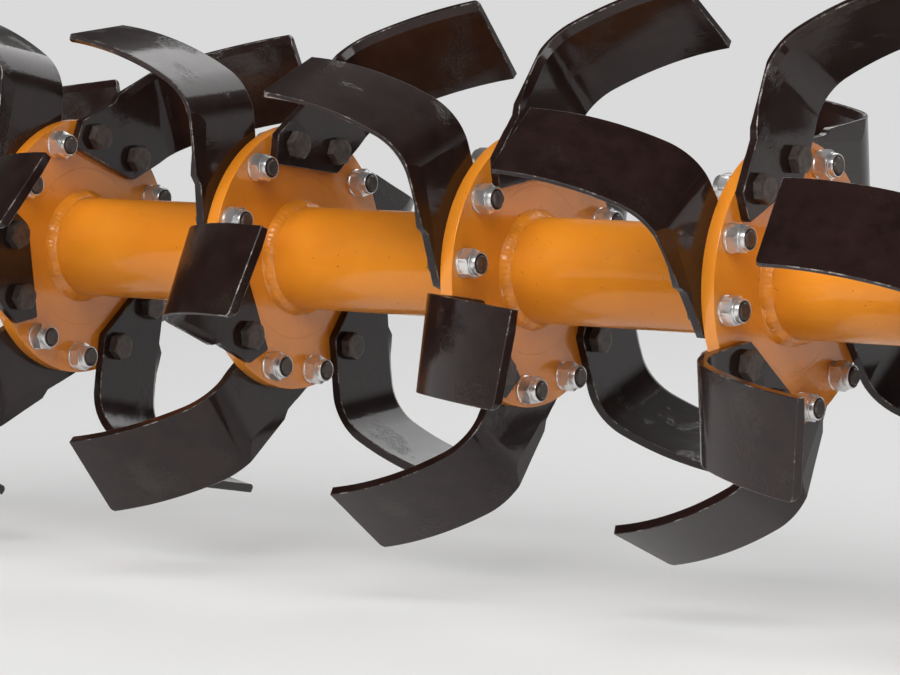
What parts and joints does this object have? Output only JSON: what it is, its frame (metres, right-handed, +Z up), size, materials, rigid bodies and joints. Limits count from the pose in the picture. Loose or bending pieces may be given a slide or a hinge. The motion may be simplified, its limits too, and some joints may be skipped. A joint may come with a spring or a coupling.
{
  "type": "rotary tiller blade rotor",
  "caption": "Tiller rotor: a tube with welded flanges carrying bolted L-shaped soil blades in a helix, on stub shafts in flanged bearing housings.",
  "frame": {"origin": "centre of the left bearing housing's mounting face", "axes": "+X along the rotor axis, away from that face towards the drive end; +Z up"},
  "size_m": [1.656, 0.4814, 0.4814],
  "materials": {
    "orange_paint": "gloss",
    "blade_enamel": "semi-gloss",
    "shaft_steel": "turned",
    "zinc": "zinc plated",
    "bolt_black": "black oxide",
    "seal_rubber": "matt"
  },
  "bodies": {
    "left_bearing": {"left_bearing_housing": "orange_paint", "left_end_cap": "orange_paint"},
    "rotor": {"blade_1_right_1": "blade_enamel", "blade_1_right_2": "blade_enamel", "blade_1_right_3": "blade_enamel", "blade_2_left_1": "blade_enamel", "blade_2_left_2": "blade_enamel", "blade_2_left_3": "blade_enamel", "blade_2_right_1": "blade_enamel", "blade_2_right_2": "blade_enamel", "blade_2_right_3": "blade_enamel", "blade_3_left_1": "blade_enamel", "blade_3_left_2": "blade_enamel", "blade_3_left_3": "blade_enamel", "blade_3_right_1": "blade_enamel", "blade_3_right_2": "blade_enamel", "blade_3_right_3": "blade_enamel", "blade_4_left_1": "blade_enamel", "blade_4_left_2": "blade_enamel", "blade_4_left_3": "blade_enamel", "blade_4_right_1": "blade_enamel", "blade_4_right_2": "blade_enamel", "blade_4_right_3": "blade_enamel", "blade_5_left_1": "blade_enamel", "blade_5_left_2": "blade_enamel", "blade_5_left_3": "blade_enamel", "blade_5_right_1": "blade_enamel", "blade_5_right_2": "blade_enamel", "blade_5_right_3": "blade_enamel", "blade_6_left_1": "blade_enamel", "blade_6_left_2": "blade_enamel", "blade_6_left_3": "blade_enamel", "blade_flange_1": "orange_paint", "blade_flange_2": "orange_paint", "blade_flange_3": "orange_paint", "blade_flange_4": "orange_paint", "blade_flange_5": "orange_paint", "blade_flange_6": "orange_paint", "drive_stub_shaft": "shaft_steel", "left_end_flange": "orange_paint", "left_stub_shaft": "shaft_steel", "right_end_flange": "orange_paint", "rotor_tube": "orange_paint"},
    "right_bearing": {"right_bearing_housing": "orange_paint", "right_seal_cover": "orange_paint"}
  },
  "joints": [
    {"name": "rotor_spin", "type": "hinge", "parent": "left_bearing", "child": "rotor", "pos_m": [0, 0, 0], "axis": [1, 0, 0], "continuous": true},
    {"name": "right_bearing_turn", "type": "hinge", "parent": "rotor", "child": "right_bearing", "pos_m": [1.55, 0, 0], "axis": [1, 0, 0], "continuous": true}
  ],
  "couplings": [
    {"joint": "right_bearing_turn", "follows": "rotor_spin", "ratio": -1}
  ]
}
